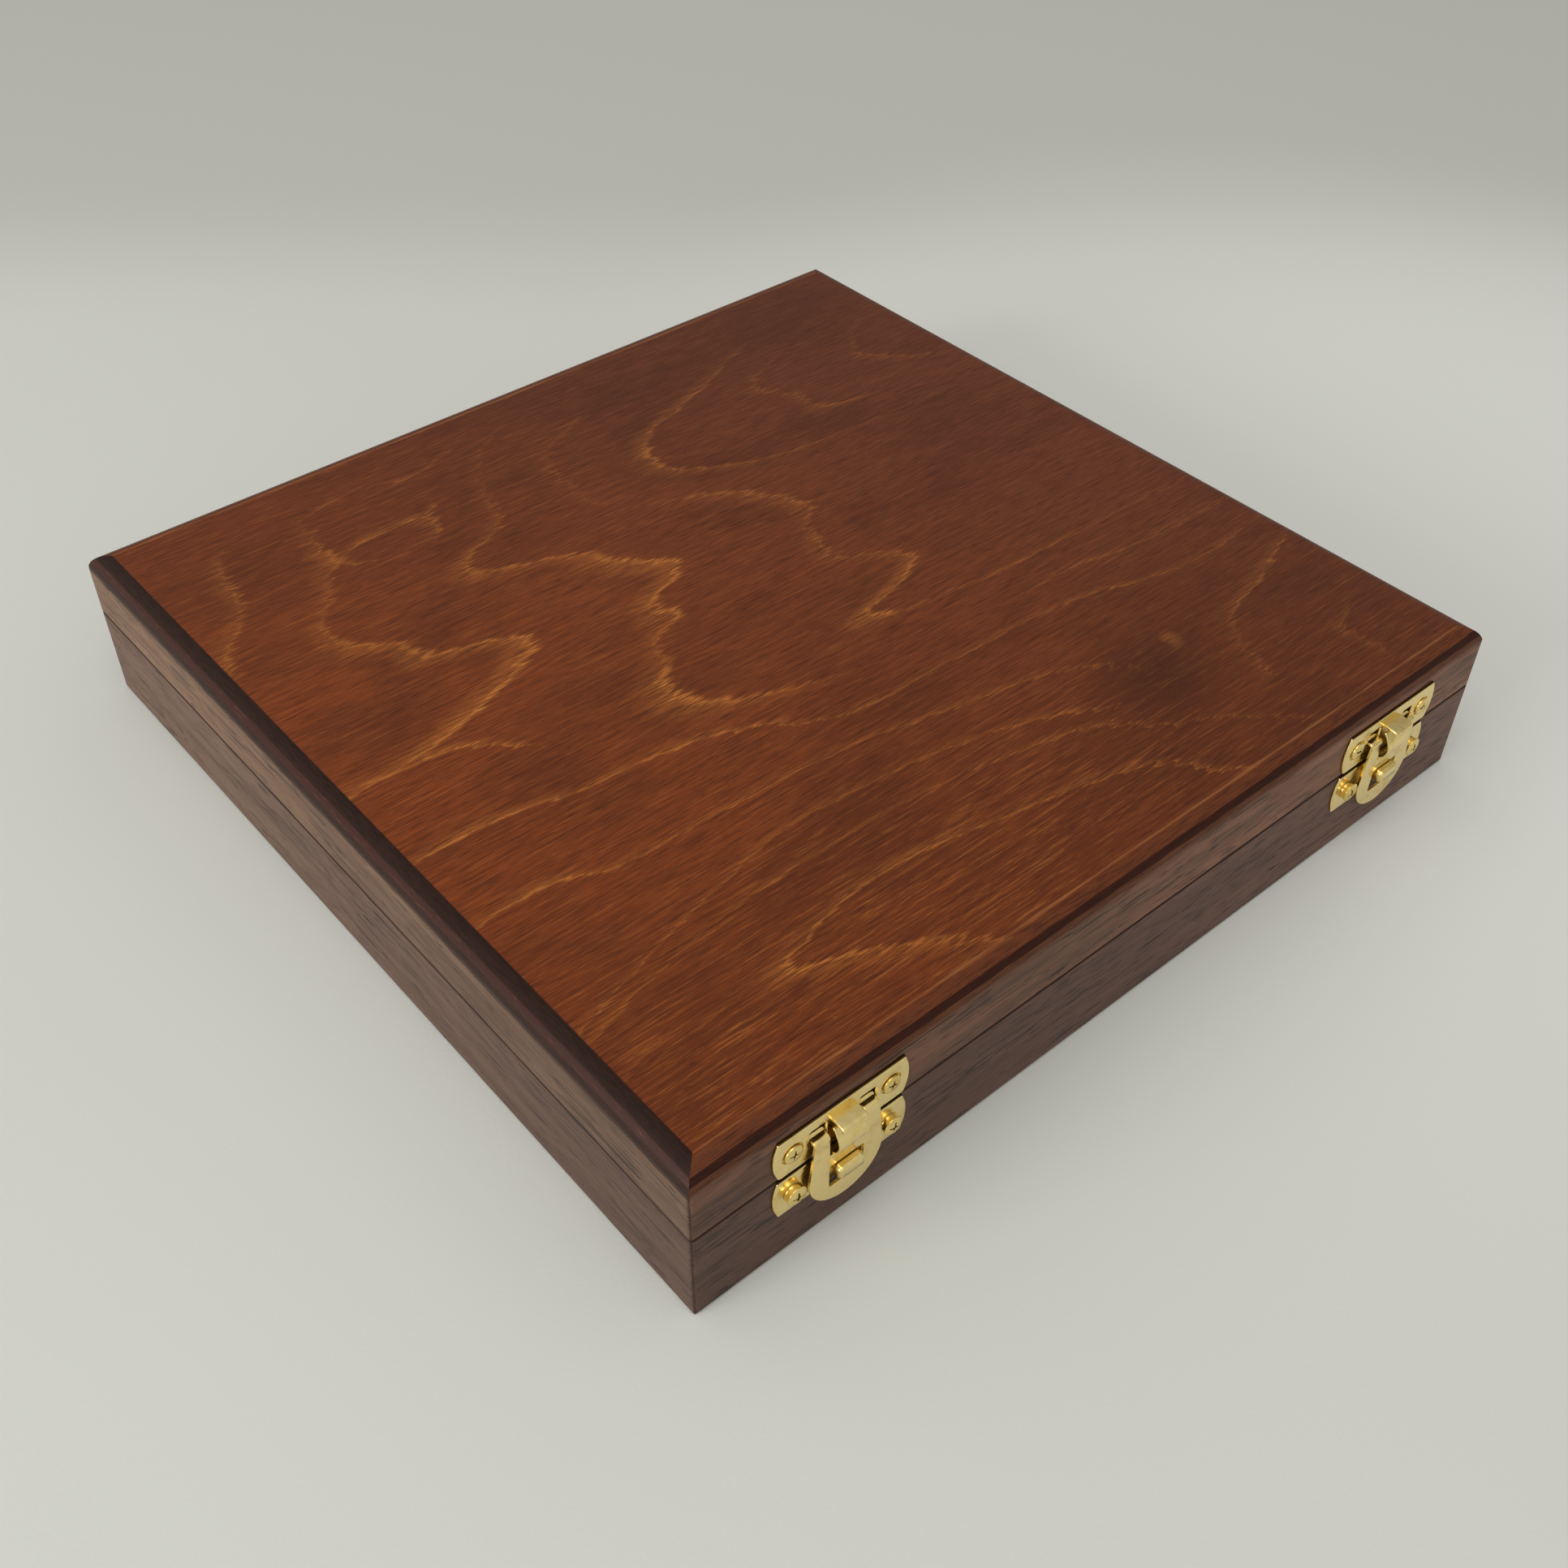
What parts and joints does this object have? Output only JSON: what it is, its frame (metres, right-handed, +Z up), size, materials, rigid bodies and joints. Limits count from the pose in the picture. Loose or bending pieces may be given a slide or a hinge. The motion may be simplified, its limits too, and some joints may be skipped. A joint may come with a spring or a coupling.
{
  "type": "hinged wooden presentation case",
  "caption": "Shallow square hinged wooden case with a round-edged plywood lid, brass spring catches on the front, butt hinges at the back and a fabric-lined inside.",
  "frame": {"origin": "centre of the flat underside of the base", "axes": "+X along the front edge to the right as seen from the front, +Y from the front to the hinges, +Z up"},
  "size_m": [0.27, 0.2797, 0.0475],
  "materials": {
    "rail_wood": "dark oiled hardwood, satin",
    "top_plywood": "dark red-brown rotary veneer, satin",
    "bottom_plywood": "plain stained plywood, matt",
    "lining": "short-pile velvet",
    "catch_brass": "bright pressed brass",
    "hinge_brass": "satin brass",
    "screw_brass": "polished brass"
  },
  "bodies": {
    "base": {"base_front_rail": "rail_wood", "base_back_rail": "rail_wood", "base_left_rail": "rail_wood", "base_right_rail": "rail_wood", "base_bottom_panel": "bottom_plywood", "tray_pad": "lining", "keeper_left": "catch_brass", "keeper_right": "catch_brass", "keeper_screws_left": "screw_brass", "keeper_screws_right": "screw_brass", "hinge_base_leaf_left": "hinge_brass", "hinge_base_leaf_right": "hinge_brass", "hinge_pin_left": "hinge_brass", "hinge_pin_right": "hinge_brass", "hinge_base_screws": "screw_brass"},
    "lid": {"lid_front_rail": "rail_wood", "lid_back_rail": "rail_wood", "lid_left_rail": "rail_wood", "lid_right_rail": "rail_wood", "lid_top_panel": "top_plywood", "lid_pad": "lining", "catch_plate_left": "catch_brass", "catch_plate_right": "catch_brass", "plate_screws_left": "screw_brass", "plate_screws_right": "screw_brass", "hinge_lid_leaf_left": "hinge_brass", "hinge_lid_leaf_right": "hinge_brass", "hinge_lid_screws": "screw_brass"},
    "catch_left": {"catch_flap_left": "catch_brass", "catch_spring_left": "catch_brass"},
    "catch_right": {"catch_flap_right": "catch_brass", "catch_spring_right": "catch_brass"}
  },
  "joints": [
    {"name": "lid_hinge", "type": "hinge", "parent": "base", "child": "lid", "pos_m": [0, 0.1375, 0.0281], "axis": [-1, 0, 0], "range_deg": [0, 95]},
    {"name": "catch_left_lift", "type": "hinge", "parent": "lid", "child": "catch_left", "pos_m": [-0.095, -0.13435, 0.0349], "axis": [-1, 0, 0], "range_deg": [0, 90], "deforming": ["catch_spring_left"]},
    {"name": "catch_right_lift", "type": "hinge", "parent": "lid", "child": "catch_right", "pos_m": [0.095, -0.13435, 0.0349], "axis": [-1, 0, 0], "range_deg": [0, 90], "deforming": ["catch_spring_right"]}
  ]
}
